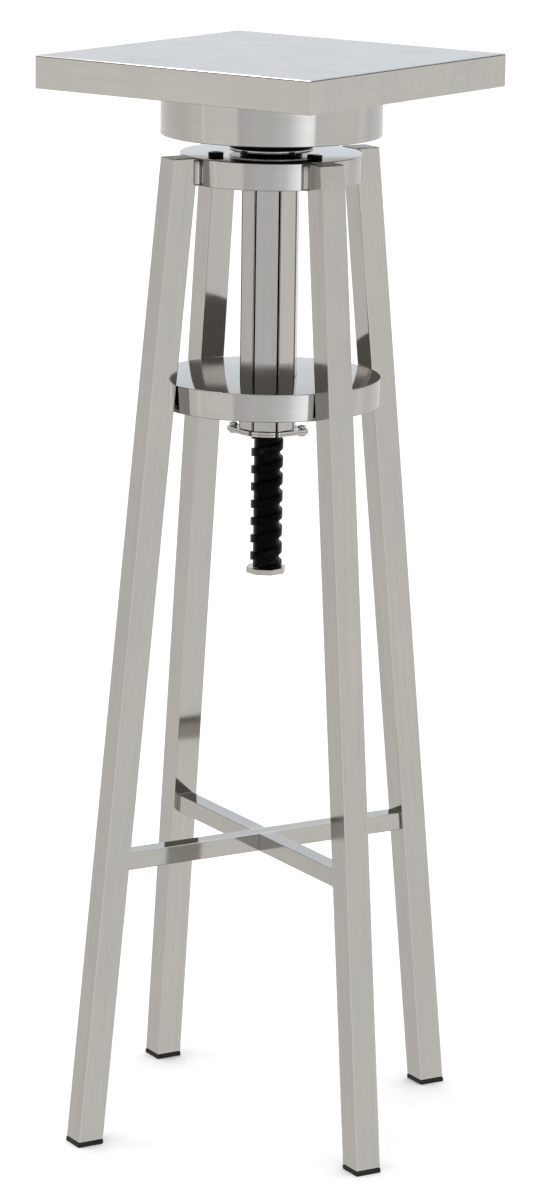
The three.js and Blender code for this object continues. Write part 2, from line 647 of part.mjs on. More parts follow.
earAngles.forEach((angle, i) => {
  base.add(piece(`flange_bolt_${i + 1}`, flangeBolt(angle), SATIN));
  base.add(piece(`flange_nut_${i + 1}`, flangeNut(angle), SATIN));
});

const riser = new THREE.Group();
turntable.add(riser);
riser.add(piece('thrust_washer', thrustWasher(), POLISHED));

const spindle = new THREE.Group();
turntable.add(spindle);
spindle.add(piece('screw_spindle', screwSpindle(), BLACK_STEEL));
spindle.add(piece('end_stop', endStop(), POLISHED));
spindle.add(piece('stop_screw', stopScrew(), SATIN));
spindle.add(piece('hub', hub(), BLACK_STEEL));
spindle.add(piece('drum_shell', drumShell(), POLISHED));
spindle.add(piece('turn_plate', turnPlate(), SATIN));
spindle.add(piece('spindle_nut', ringNut(SPINDLE_NUT_FLATS, STUB_RADIUS, TURN_PLATE_TOP + GAP,
  SPINDLE_NUT_HEIGHT), SATIN));
spindle.add(piece('lower_race', race(LOWER_RACE_TOP, LOWER_RACE_BOTTOM), SATIN));
spindle.add(piece('king_nut', ringNut(KING_NUT_FLATS, PIN_RADIUS, KING_NUT_BOTTOM, KING_NUT_HEIGHT), SATIN));

const cage = new THREE.Group();
turntable.add(cage);
cage.add(piece('ball_cage', ballCage(), SATIN));

const platter = new THREE.Group();
platter.rotation.z = radians(PLATTER_TURN);
turntable.add(platter);
platter.add(piece('upper_race', race(UPPER_RACE_BOTTOM, UPPER_RACE_TOP), SATIN));
platter.add(piece('platter_carrier', platterCarrier(), SATIN));
platter.add(piece('platter_core', platterCore(), BOARD));
platter.add(piece('platter_shell', platterShell(), POLISHED));
carrierScrewAngles.forEach((angle, i) => {
  platter.add(piece(`carrier_screw_${i + 1}`, carrierScrew(angle), SATIN));
});

export default turntable;
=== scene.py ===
"""Looks of the sculpting turntable: a polished stainless stand, a black lifting screw and a square top.

Metres, +Z up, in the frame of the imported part. Straight pieces copy their CAD node and get rounded edges.
Round pieces are turned again with many more sides, filleted, and cut where the legs and bolts pass.
"""

import json
import math

import bmesh
import bpy
from mathutils import Matrix, Vector


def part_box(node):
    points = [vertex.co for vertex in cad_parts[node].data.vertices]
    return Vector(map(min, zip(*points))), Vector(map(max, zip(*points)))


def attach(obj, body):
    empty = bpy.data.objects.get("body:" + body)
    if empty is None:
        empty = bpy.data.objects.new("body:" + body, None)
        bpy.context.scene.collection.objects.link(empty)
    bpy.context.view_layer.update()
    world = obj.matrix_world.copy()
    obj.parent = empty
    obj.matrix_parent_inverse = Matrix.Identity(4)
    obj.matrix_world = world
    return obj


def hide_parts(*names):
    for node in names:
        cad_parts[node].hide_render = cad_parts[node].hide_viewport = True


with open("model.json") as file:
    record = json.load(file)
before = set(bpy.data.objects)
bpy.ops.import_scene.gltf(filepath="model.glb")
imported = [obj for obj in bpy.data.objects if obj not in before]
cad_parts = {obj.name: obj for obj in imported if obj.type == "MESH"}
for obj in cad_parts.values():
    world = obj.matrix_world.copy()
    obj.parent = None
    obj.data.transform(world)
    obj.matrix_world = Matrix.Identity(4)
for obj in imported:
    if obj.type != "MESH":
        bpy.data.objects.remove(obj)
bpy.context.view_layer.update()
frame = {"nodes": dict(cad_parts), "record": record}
NODES = frame["nodes"]
SLOTS = {row["node"]: row["material_slot"] for row in frame["record"]["subparts"]}
BODIES = {
    node: body
    for body, members in frame["record"]["behaviour"]["bodies"].items()
    for node in members
}

# ---------------------------------------------------------------------------------------------------
# Dimensions, in metres and degrees, as in the CAD
# ---------------------------------------------------------------------------------------------------

GAP = 0.0003
LEG_ANGLES = {"fl": -135.0, "fr": -45.0, "br": 45.0, "bl": 135.0}
LEG_SIZE = 0.030
LEG_FOOT_RADIUS = 0.2254
LEG_LEAN = 0.10114
SHEET = 0.0025
RING_RADIUS = 0.0995
PLATE_RADIUS = 0.1238
RING_SCREW_CIRCLE = 0.073
RING_SCREW_ANGLES = (-130.5, -35.5, 97.0)
RING_SCREW_SHANK = 0.004
WELD_RADIUS = 0.0036
WELD_REACH = 0.1012
WELD_SIDE = 0.0157
COLUMN_TURN = 8.5
COLUMN_SIZE = 0.0606
COLUMN_FACE = 0.0274
NUT_RADIUS = 0.024
FLANGE_BOLT_FLATS = 0.008
FLANGE_BOLT_SHANK = 0.0024
EAR_DISTANCE = 0.0385
EAR_ANGLES = (3.5, 183.5)
PITCH = 0.0195
MAJOR_RADIUS = 0.01775
MINOR_RADIUS = 0.01465
RIDGE_WIDTH = 0.0095
RIDGE_HEIGHT_AT_X = 0.7555
THREAD_TOP = 1.101
NECK_RADIUS = 0.016
STUB_RADIUS = 0.012
GROOVE_DEPTH = 0.002
PIN_RADIUS = 0.007
STOP_SCREW_RADIUS = 0.005
BUSH_BORE = 0.01845
BUSH_FLANGE_RADIUS = 0.034
WASHER_BORE = 0.0167
DRUM_RADIUS = 0.121
DRUM_WALL = 0.0024
DRUM_LIP = 0.009
DRUM_BORE = 0.0163
BALL_CIRCLE = 0.080
BALL_COUNT = 12
BALL_RADIUS = 0.005
CAGE_INNER = 0.071
CAGE_OUTER = 0.089
CAGE_THICKNESS = 0.0032
PLATTER_TURN = -21.6
PLATE_BORE = 0.012
SCREW_SOCKET = 0.0034
SCREW_SOCKET_DEPTH = 0.0024
STOP_HEAD_RADIUS = 0.0086
STOP_HEAD_DEPTH = 0.0027
STOP_SOCKET = 0.0046
STOP_SOCKET_DEPTH = 0.0019
STOP_HOLE_DEPTH = 0.022
STUB_ABOVE_NUT = 0.0047

# Cutting tools run past what they cut.
PAST = 0.001
FAR_PAST = 0.01
PAST_LEG_ENDS = (-0.1, 1.3)
PAST_COLUMN_ENDS = (0.5, 1.2)

ROUND_SIDES = 160
SMALL_SIDES = 48

# ---------------------------------------------------------------------------------------------------
# Materials
# ---------------------------------------------------------------------------------------------------

STEEL = (0.470, 0.457, 0.432)


def add_node(tree, kind, inputs=None, **settings):
    """A shader node with its settings, and each input either linked or set to a value."""
    made = tree.nodes.new("ShaderNode" + kind)
    for key, value in settings.items():
        setattr(made, key, value)
    for key, value in (inputs or {}).items():
        if isinstance(value, bpy.types.NodeSocket):
            tree.links.new(value, made.inputs[key])
        else:
            made.inputs[key].default_value = value
    return made


def fill_ramp(ramp, stops):
    """Gives a colour ramp node its (position, colour) stops."""
    elements = ramp.color_ramp.elements
    while len(elements) < len(stops):
        elements.new(0.5)
    for element, (position, colour) in zip(elements, stops):
        element.position = position
        element.color = (*colour, 1.0)


class Surface:
    """A node material with one Principled shader, built up a node at a time."""

    def __init__(self, name, metallic=1.0):
        self.material = bpy.data.materials.new(name)
        self.material.use_nodes = True
        self.tree = self.material.node_tree
        self.shader = self.tree.nodes["Principled BSDF"]
        self.shader.inputs["Metallic"].default_value = metallic
        self.place = self.node("TexCoord").outputs["Object"]

    def node(self, kind, inputs=None, **settings):
        return add_node(self.tree, kind, inputs, **settings)

    def math(self, operation, a, b=0.0, c=0.0):
        return self.node("Math", {0: a, 1: b, 2: c}, operation=operation).outputs[0]

    def set(self, name, value):
        if isinstance(value, bpy.types.NodeSocket):
            self.tree.links.new(value, self.shader.inputs[name])
        else:
            self.shader.inputs[name].default_value = value

    def along(self, axis, across, length):
        """Coordinates that change `across` times a metre over the grain and `length` times along it."""
        if axis == "turned":
            parts = self.node("SeparateXYZ", {0: self.place})
            x, y, z = parts.outputs
            radius = self.math("SQRT", self.math("MULTIPLY_ADD", x, x, self.math("MULTIPLY", y, y)))
            radius = self.math("MAXIMUM", radius, 1e-5)
            turn = 0.1 * length
            cosine = self.math("MULTIPLY", self.math("DIVIDE", x, radius), turn)
            sine = self.math("MULTIPLY", self.math("DIVIDE", y, radius), turn)
            depth = self.math("MULTIPLY", self.math("MULTIPLY_ADD", z, 1.37, radius), across)
            return self.node("CombineXYZ", {0: cosine, 1: sine, 2: depth}).outputs[0]
        scale = tuple(length if axis == name else across for name in "XYZ")
        return self.node("Mapping", {"Vector": self.place, "Scale": scale}).outputs[0]

    def noise(self, vector, detail=2.0, scale=1.0, rough=0.5):
        inputs = {"Vector": vector, "Scale": scale, "Detail": detail, "Roughness": rough}
        return self.node("TexNoise", inputs).outputs["Fac"]

    def ramp(self, value, low, high, start=0.0, end=1.0):
        """value from `low`..`high` spread over `start`..`end`, and held there outside."""
        inputs = {"Value": value, "From Min": low, "From Max": high, "To Min": start, "To Max": end}
        return self.node("MapRange", inputs).outputs[0]

    def colours(self, factor, stops):
        made = self.node("ValToRGB", {"Fac": factor})
        fill_ramp(made, stops)
        return made.outputs["Color"]

    def bump(self, layers):
        """Stacks (height, metres) layers, the broadest first."""
        normal = None
        for height, distance in layers:
            inputs = {"Height": height, "Distance": distance, "Strength": 1.0}
            if normal is not None:
                inputs["Normal"] = normal
            normal = self.node("Bump", inputs).outputs["Normal"]
        self.set("Normal", normal)


def tinted(colour, factor, warm=0.0):
    """A colour made lighter or darker, and warmer by `warm`."""
    red, green, blue = colour
    return (red * factor * (1 + warm), green * factor, blue * factor * (1 - warm))


def steel(name, axis, base=STEEL, polish=0.07, grain=1.0, wave=1.0):
    """Stainless steel with faint cloudy tone, fine hairlines along the grain and handling smudges."""
    made = Surface(name)
    cloud = made.noise(made.along(axis, 26.0, 7.0), detail=3.0)
    bands = made.noise(made.along(axis, 190.0, 4.0), detail=2.0)
    hairs = made.noise(made.along(axis, 1900.0, 16.0), detail=3.0, rough=0.65)
    smudge = made.noise(made.place, detail=4.0, scale=17.0, rough=0.6)
    tone = made.math("MULTIPLY_ADD", bands, 0.45, made.math("MULTIPLY", cloud, 0.55))
    stops = (
        (0.30, tinted(base, 0.945, 0.012)),
        (0.47, tinted(base, 0.995, -0.010)),
        (0.56, tinted(base, 1.005, 0.014)),
        (0.72, tinted(base, 1.055, -0.006)),
    )
    made.set("Base Color", made.colours(tone, stops))
    rough = made.ramp(smudge, 0.42, 0.72, polish, polish + 0.07)
    made.set("Roughness", made.math("MULTIPLY_ADD", hairs, 0.07 * grain, rough))
    dents = made.noise(made.place, detail=1.0, scale=9.0)
    layers = [(dents, 0.00035 * wave), (bands, 0.000009 * grain), (hairs, 0.0000035 * grain)]
    made.bump(layers)
    return made.material


def worn_edge(name, base=STEEL):
    """The rounded corners, which handling has burnished lighter and a little rougher."""
    made = Surface(name)
    wear = made.noise(made.place, detail=4.0, scale=60.0, rough=0.7)
    nicks = made.noise(made.place, detail=2.0, scale=420.0)
    stops = ((0.35, tinted(base, 1.02)), (0.6, tinted(base, 1.12, 0.01)), (0.75, tinted(base, 1.2)))
    made.set("Base Color", made.colours(wear, stops))
    made.set("Roughness", made.ramp(wear, 0.35, 0.7, 0.12, 0.26))
    made.bump([(nicks, 0.00003)])
    return made.material


def black_oxide(name, axis, wear=0.5):
    """Oiled black oxide on steel, with the film rubbed thin in places. It also makes the near-black painted
    shade in the column's grooves.
    """
    made = Surface(name)
    film = made.noise(made.place, detail=4.0, scale=38.0, rough=0.65)
    lines = made.noise(made.along(axis, 900.0, 20.0), detail=2.0)
    rubbed = made.math("MULTIPLY_ADD", lines, 0.3, made.math("MULTIPLY", film, 0.7))
    stops = (
        (0.38, (0.003, 0.003, 0.003)),
        (0.58, (0.006, 0.006, 0.006)),
        (0.74, (0.006 + 0.04 * wear, 0.006 + 0.037 * wear, 0.006 + 0.034 * wear)),
    )
    made.set("Base Color", made.colours(rubbed, stops))
    made.set("Roughness", made.ramp(film, 0.35, 0.7, 0.24, 0.42))
    made.bump([(film, 0.00008), (lines, 0.00001)])
    return made.material


def rubber(name):
    """Matt black rubber with a fine moulded grain, dusty in places."""
    made = Surface(name, metallic=0.0)
    grain = made.noise(made.place, detail=3.0, scale=1500.0)
    dust = made.noise(made.place, detail=4.0, scale=70.0)
    stops = ((0.4, (0.006, 0.006, 0.006)), (0.62, (0.011, 0.011, 0.010)), (0.8, (0.034, 0.032, 0.030)))
    made.set("Base Color", made.colours(dust, stops))
    made.set("Roughness", made.ramp(dust, 0.35, 0.7, 0.62, 0.88))
    made.bump([(dust, 0.0001), (grain, 0.00004)])
    return made.material


def plywood(name):
    """Sealed birch board: long grain on the faces, thin plies at the edges."""
    made = Surface(name, metallic=0.0)
    figure = made.noise(made.along("X", 75.0, 3.5), detail=5.0, rough=0.6)
    pores = made.noise(made.along("X", 1400.0, 40.0), detail=2.0)
    plies = made.node("TexWave", {"Vector": made.place, "Scale": 110.0}, bands_direction="Z").outputs["Fac"]
    tone = made.math("MULTIPLY_ADD", plies, 0.15, made.math("MULTIPLY", figure, 0.85))
    stops = ((0.3, (0.30, 0.185, 0.090)), (0.5, (0.43, 0.29, 0.16)), (0.7, (0.56, 0.41, 0.25)))
    made.set("Base Color", made.colours(tone, stops))
    made.set("Roughness", made.ramp(pores, 0.3, 0.7, 0.45, 0.68))
    made.bump([(figure, 0.0002), (pores, 0.00006)])
    return made.material


SATIN = (0.50, 0.49, 0.47)
MATERIALS = {
    "leg": steel("leg_steel", "Z", polish=0.035, grain=0.7),
    "bar": steel("bar_steel", "X", polish=0.035, grain=0.7),
    "top": steel("top_steel", "X", polish=0.09, wave=0.7),
    "turned": steel("turned_steel", "turned", polish=0.04, grain=0.7, wave=0.5),
    "edge": worn_edge("steel_edge"),
    "satin": steel("satin_steel", "turned", SATIN, polish=0.26, grain=2.0),
    "satin_edge": worn_edge("satin_edge", SATIN),
    "ground": steel("ground_steel", "X", polish=0.32, grain=2.0),
    "weld": steel("weld_steel", "Z", polish=0.1, grain=2.0, wave=3.0),
    # Painted shade: near-black laid on the walls of the column's corner grooves, standing for the shade
    # inside them.
    "joint": black_oxide("column_groove_painted_shade", "Z", wear=0.2),
    "black": black_oxide("black_oxide", "turned"),
    "screw": black_oxide("screw_oxide", "turned", wear=0.9),
    "rubber": rubber("rubber"),
    "board": plywood("plywood"),
}

# ---------------------------------------------------------------------------------------------------
# Meshes
# ---------------------------------------------------------------------------------------------------


def around(radius, angle):
    turn = math.radians(angle)
    return (radius * math.cos(turn), radius * math.sin(turn))


def filleted(outline, radius, steps=4):
    """A closed outline of (x, y) points with every corner rounded by at most `radius`."""
    rounded = []
    count = len(outline)
    for index in range(count):
        before = Vector(outline[index - 1])
        corner = Vector(outline[index])
        after = Vector(outline[(index + 1) % count])
        to_before = before - corner
        to_after = after - corner
        half = to_before.angle(to_after) / 2
        reach = radius / math.tan(half)
        reach = min(reach, 0.45 * to_before.length, 0.45 * to_after.length)
        start = corner + to_before.normalized() * reach
        end = corner + to_after.normalized() * reach
        for step in range(steps + 1):
            part = step / steps
            bent = start.lerp(corner, part).lerp(corner.lerp(end, part), part)
            rounded.append(tuple(bent))
    return rounded


def turned(outline, sides=ROUND_SIDES):
    """A closed outline of (radius, height) points turned about the axis, as a mesh being built."""
    made = bmesh.new()
    rings = []
    for radius, height in outline:
        rings.append([made.verts.new((*around(radius, 360 * i / sides), height)) for i in range(sides)])
    for index, ring in enumerate(rings):
        following = rings[(index + 1) % len(rings)]
        for side in range(sides):
            nearby = (side + 1) % sides
            made.faces.new((ring[side], ring[nearby], following[nearby], following[side]))
    bmesh.ops.recalc_face_normals(made, faces=made.faces)
    return made


def prism(outline, bottom, top):
    """A closed outline of (x, y) points raised between two heights."""
    made = bmesh.new()
    low = [made.verts.new((x, y, bottom)) for x, y in outline]
    high = [made.verts.new((x, y, top)) for x, y in outline]
    made.faces.new(low)
    made.faces.new(high)
    for index in range(len(outline)):
        following = (index + 1) % len(outline)
        made.faces.new((low[index], low[following], high[following], high[index]))
    bmesh.ops.recalc_face_normals(made, faces=made.faces)
    return made


def rod(radius, bottom, top, at=(0.0, 0.0), sides=SMALL_SIDES, turn=0.0):
    corners = [around(radius, turn + 360 * i / sides) for i in range(sides)]
    return prism([(at[0] + x, at[1] + y) for x, y in corners], bottom, top)


def turned_by(angle):
    return Matrix.Rotation(math.radians(angle), 4, "Z")


def leg_frame(angle):
    """A frame on a leg's axis at the floor, with Z up the leg and X outward."""
    slope = math.hypot(1, LEG_LEAN)
    outward = Vector((1, 0, LEG_LEAN)) / slope
    upward = Vector((-LEG_LEAN, 0, 1)) / slope
    axes = Matrix((outward, (0, 1, 0), upward)).transposed().to_4x4()
    return turned_by(angle) @ Matrix.Translation((LEG_FOOT_RADIUS, 0, 0)) @ axes


def leg_prism(angle, grow):
    """The leg's outer faces, moved outward by `grow`, as a long solid."""
    half = LEG_SIZE / 2 + grow
    made = prism([(-half, -half), (half, -half), (half, half), (-half, half)], *PAST_LEG_ENDS)
    made.transform(leg_frame(angle))
    return made


def as_object(name, building):
    mesh = bpy.data.meshes.new(name)
    building.to_mesh(mesh)
    building.free()
    made = bpy.data.objects.new(name, mesh)
    bpy.context.scene.collection.objects.link(made)
    return made


def combined(first, others, operation):
    """One solid joined with, cut by or limited to others, as a mesh being built."""
    target = as_object("target", first)
    tools = [as_object("tool", other) for other in others]
    for tool in tools:
        step = target.modifiers.new("step", "BOOLEAN")
        step.operation = operation
        step.solver = "MANIFOLD"
        step.object = tool
    bpy.context.view_layer.update()
    shape = target.evaluated_get(bpy.context.evaluated_depsgraph_get())
    result = bmesh.new()
    result.from_mesh(shape.to_mesh())
    shape.to_mesh_clear()
    for spent in [target, *tools]:
        mesh = spent.data
        bpy.data.objects.remove(spent)
        bpy.data.meshes.remove(mesh)
    bmesh.ops.remove_doubles(result, verts=result.verts, dist=2e-6)
    return result


def cut(first, *others):
    return combined(first, others, "DIFFERENCE")


def joined(first, *others):
    return combined(first, others, "UNION")


def limited(first, *others):
    return combined(first, others, "INTERSECT")


def cad_copy(node):
    """A node's own shape, with the triangles of its flat faces joined in pairs."""
    made = bmesh.new()
    made.from_mesh(NODES[node].data)
    bmesh.ops.remove_doubles(made, verts=made.verts, dist=2e-6)
    bmesh.ops.join_triangles(made, faces=made.faces, angle_face_threshold=math.radians(0.6),
                             angle_shape_threshold=math.pi)
    return made


def add_piece(node, building, materials, at=None, bevel=0.0, steps=2, limit=32.0):
    """A finished piece that stands for a node: it rides on the node's body, and the node is hidden."""
    place = at or Matrix.Identity(4)
    building.transform(place.inverted())
    bmesh.ops.recalc_face_normals(building, faces=building.faces)
    for face in building.faces:
        face.smooth = True
    for edge in building.edges:
        if len(edge.link_faces) == 2:
            edge.smooth = edge.calc_face_angle(0.0) < math.radians(limit)
    piece = as_object(node + "_finish", building)
    for name in materials:
        piece.data.materials.append(MATERIALS[name])
    piece.matrix_world = place
    if bevel:
        rounding = piece.modifiers.new("rounding", "BEVEL")
        rounding.width = bevel
        rounding.segments = steps
        rounding.limit_method = "ANGLE"
        rounding.angle_limit = math.radians(limit)
        rounding.harden_normals = True
        rounding.use_clamp_overlap = True
        rounding.miter_outer = "MITER_ARC"
        if len(materials) > 1:
            rounding.material = 1
    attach(piece, BODIES[node])
    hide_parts(node)
    return piece


# ---------------------------------------------------------------------------------------------------
# Straight pieces: legs, caps, pads, cross bars, column
# ---------------------------------------------------------------------------------------------------


LEG_PATTERN_STEP = 2.3
BAR_PATTERN_STEP = 1.7
COLUMN_PATTERN_START = 9.7
BAR_CORNERS = {"cross_bar": "br", "cross_arm_fr": "fr", "cross_arm_bl": "bl"}


def make_legs():
    for number, (corner, angle) in enumerate(LEG_ANGLES.items()):
        # Each leg starts at its own place in the steel's pattern.
        place = leg_frame(angle) @ Matrix.Translation((0, 0, -LEG_PATTERN_STEP * number))
        leg = "leg_" + corner
        cap = "leg_cap_" + corner
        pad = "foot_pad_" + corner
        add_piece(leg, cad_copy(leg), ["leg", "edge"], place, bevel=0.0011, steps=3)
        add_piece(cap, cad_copy(cap), ["ground", "edge"], place, bevel=0.0004)
        add_piece(pad, cad_copy(pad), ["rubber"], turned_by(angle), bevel=0.0012, steps=3)


def make_bars():
    for number, (node, corner) in enumerate(BAR_CORNERS.items()):
        place = turned_by(LEG_ANGLES[corner]) @ Matrix.Translation((-BAR_PATTERN_STEP * number, 0, 0))
        add_piece(node, cad_copy(node), ["bar", "edge"], place, bevel=0.0008, steps=3)


def make_column():
    """The column, with the grooves along its corners filled with black as painted shade."""
    place = turned_by(COLUMN_TURN) @ Matrix.Translation((0, 0, -COLUMN_PATTERN_START))
    building = cad_copy("column")
    square = turned_by(-COLUMN_TURN)
    # Faces sunk into the corner grooves take the third material, the black painted shade.
    for face in building.faces:
        centre = square @ face.calc_center_median()
        across = abs(centre.x), abs(centre.y), (abs(centre.x) + abs(centre.y)) / math.sqrt(2)
        sunk = COLUMN_SIZE / 2 - max(across)
        if 0.0001 < sunk < GROOVE_DEPTH + 0.0009 and abs(face.normal.z) < 0.5:
            face.material_index = 2
    add_piece("column", building, ["leg", "edge", "joint"], place, bevel=0.0004)


# ---------------------------------------------------------------------------------------------------
# Ring, plate and their covers
# ---------------------------------------------------------------------------------------------------


def column_outline(grow):
    """The column's eight-cornered outline, moved outward by `grow`."""
    half = COLUMN_SIZE / 2 + grow
    face = COLUMN_FACE / 2 + grow * math.tan(math.pi / 8)
    quarter = ((half, -face), (half, face))
    outline = []
    for turn in range(4):
        for x, y in quarter:
            rotated = turned_by(COLUMN_TURN + 90 * turn) @ Vector((x, y, 0))
            outline.append((rotated.x, rotated.y))
    return outline


def tray_outline(bore, radius, bottom, top):
    """A tray open below: a flat top with a bore, and a wall round it."""
    inner = radius - SHEET
    return [(bore, top - SHEET), (bore, top), (radius, top), (radius, bottom), (inner, bottom),
            (inner, top - SHEET)]


def make_ring_and_plate():
    legs = [leg_prism(angle, GAP) for angle in LEG_ANGLES.values()]
    bore = NUT_RADIUS + GAP
    low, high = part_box("upper_ring")
    holes = [
        rod(RING_SCREW_SHANK + GAP, low.z - FAR_PAST, high.z + FAR_PAST, around(RING_SCREW_CIRCLE, angle))
        for angle in RING_SCREW_ANGLES
    ]
    outline = filleted(tray_outline(bore, RING_RADIUS, low.z, high.z), 0.0009)
    ring = cut(turned(outline), *[leg.copy() for leg in legs], *holes)
    add_piece("upper_ring", ring, ["turned", "edge"], bevel=0.0003)
    low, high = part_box("upper_ring_cover")
    outline = [(bore, low.z), (bore, high.z), (RING_RADIUS - SHEET - GAP, high.z),
               (RING_RADIUS - SHEET - GAP, low.z)]
    cover = cut(turned(filleted(outline, 0.0003, 2)), *[leg.copy() for leg in legs])
    add_piece("upper_ring_cover", cover, ["satin"])

    column = prism(column_outline(GAP), *PAST_COLUMN_ENDS)
    low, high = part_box("lower_plate")
    outline = filleted(tray_outline(PLATE_BORE, PLATE_RADIUS, low.z, high.z), 0.0009)
    plate = cut(turned(outline), column.copy(), *[leg.copy() for leg in legs])
    add_piece("lower_plate", plate, ["turned", "edge"], bevel=0.0003)
    low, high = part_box("lower_plate_cover")
    outline = [(PLATE_BORE, low.z), (PLATE_BORE, high.z), (PLATE_RADIUS - SHEET - GAP, high.z),
               (PLATE_RADIUS - SHEET - GAP, low.z)]
    cover = cut(turned(filleted(outline, 0.0003, 2)), column, *legs)
    add_piece("lower_plate_cover", cover, ["satin"])


# ---------------------------------------------------------------------------------------------------
# Bolts, nuts and flanges
# ---------------------------------------------------------------------------------------------------


def stack(rings, at=(0.0, 0.0), sides=SMALL_SIDES):
    """A closed round solid through (radius, height) rings, from one end to the other."""
    made = bmesh.new()
    loops = []
    for radius, level in rings:
        points = [around(radius, 360 * i / sides) for i in range(sides)]
        loops.append([made.verts.new((at[0] + x, at[1] + y, level)) for x, y in points])
    made.faces.new(loops[0])
    made.faces.new(loops[-1])
    for lower, upper in zip(loops, loops[1:]):
        for step in range(sides):
            following = (step + 1) % sides
            made.faces.new((lower[step], lower[following], upper[following], upper[step]))
    bmesh.ops.recalc_face_normals(made, faces=made.faces)
    return made


def hexagon(flats, bottom, top, at, turn, crown_below=False):
    """A hexagon whose outer face has its corners cut back to a cone."""
    corner = flats / math.sqrt(3)
    drop = min(0.42 * (top - bottom), 0.55 * (corner - flats / 2) + 0.0003)
    wide = corner + 0.001
    rings = [(wide, bottom - 0.001), (wide, top - drop), (flats / 2 * 0.94, top)]
    if crown_below:
        rings = [(wide, top + 0.001), (wide, bottom + drop), (flats / 2 * 0.94, bottom)]
    return limited(rod(corner, bottom, top, at, 6, turn), stack(rings, at))


def make_ring_screws():
    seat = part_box("upper_ring")[1].z + GAP
    for number, angle in enumerate(RING_SCREW_ANGLES):
        node = f"ring_screw_{number + 1}"
        at = around(RING_SCREW_CIRCLE, angle)
        low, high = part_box(node)
        radius = (high.x - low.x) / 2
        head = stack([(radius - 0.0003, seat), (radius, seat + 0.0003), (radius, high.z - 0.0007),
                      (radius - 0.0002, high.z - 0.0002), (radius - 0.0007, high.z)], at)
        shank = rod(RING_SCREW_SHANK, low.z, seat + 0.0003, at)
        socket = rod(SCREW_SOCKET, high.z - SCREW_SOCKET_DEPTH, high.z + PAST, at, 6, angle)
        add_piece(node, cut(joined(head, shank), socket), ["black"], bevel=0.0001)


def make_flange_bolts():
    for number, angle in enumerate(EAR_ANGLES):
        node = f"flange_bolt_{number + 1}"
        at = around(EAR_DISTANCE, angle)
        low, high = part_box(node)
        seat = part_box("lift_nut")[0].z - GAP
        body = hexagon(FLANGE_BOLT_FLATS, low.z, seat, at, angle, crown_below=True)
        shank = rod(FLANGE_BOLT_SHANK, seat - 0.001, high.z, at)
        add_piece(node, joined(body, shank), ["satin", "satin_edge"], bevel=0.0002)
        node = f"flange_nut_{number + 1}"
        low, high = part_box(node)
        body = hexagon(FLANGE_BOLT_FLATS, low.z, high.z, at, angle)
        bore = rod(FLANGE_BOLT_SHANK + GAP, low.z - FAR_PAST, high.z + FAR_PAST, at)
        add_piece(node, cut(body, bore), ["satin", "satin_edge"], bevel=0.0002)


def make_welds():
    """Upright beads that fill the notch on each side of a leg where it meets the ring."""
    low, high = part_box("upper_ring")
    for corner, angle in LEG_ANGLES.items():
        for side, name in ((1, "left"), (-1, "right")):
            at = turned_by(angle) @ Vector((WELD_REACH, side * WELD_SIDE, 0))
            levels = ((0.5, 0.0006), (0.88, 0.0012), (1.0, 0.0032))
            rings = [(WELD_RADIUS * share, low.z + inset) for share, inset in levels]
            rings += [(WELD_RADIUS * share, high.z - inset) for share, inset in reversed(levels)]
            bead = stack(rings, (at.x, at.y))
            piece = as_object(f"ring_weld_{corner}_{name}", bead)
            for face in piece.data.polygons:
                face.use_smooth = True
            piece.data.materials.append(MATERIALS["weld"])
            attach(piece, "base")


def make_foot_of_column():
    add_piece("column_flange", cad_copy("column_flange"), ["turned", "edge"], bevel=0.0003)
    add_piece("lift_nut", cad_copy("lift_nut"), ["turned", "edge"], bevel=0.0003)
    low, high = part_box("guide_bush")
    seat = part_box("upper_ring")[1].z + GAP
    outline = [(BUSH_BORE, low.z), (NUT_RADIUS, low.z), (NUT_RADIUS, seat), (BUSH_FLANGE_RADIUS, seat),
               (BUSH_FLANGE_RADIUS, high.z), (BUSH_BORE, high.z)]
    add_piece("guide_bush", turned(filleted(outline, 0.0006)), ["black"])


# ---------------------------------------------------------------------------------------------------
# Screw and what turns with it
# ---------------------------------------------------------------------------------------------------

SCREW_STEPS = 64
EDGE = 0.0005


def thread_radius(height, angle):
    """Radius of the square thread at a height and an angle in degrees, with its edges eased."""
    offset = (height - RIDGE_HEIGHT_AT_X - PITCH * angle / 360) % PITCH
    offset = min(offset, PITCH - offset)
    crest = RIDGE_WIDTH / 2
    depth = MAJOR_RADIUS - MINOR_RADIUS
    points = ((0.0, 0.0), (crest - EDGE, 0.0), (crest - EDGE / 3, EDGE / 4), (crest, EDGE),
              (crest + 0.00005, depth - EDGE), (crest + EDGE / 3, depth - EDGE / 4), (crest + EDGE, depth),
              (PITCH, depth))
    for (start, low), (end, high) in zip(points, points[1:]):
        if offset <= end:
            return MAJOR_RADIUS - (low + (high - low) * (offset - start) / (end - start))
    return MINOR_RADIUS


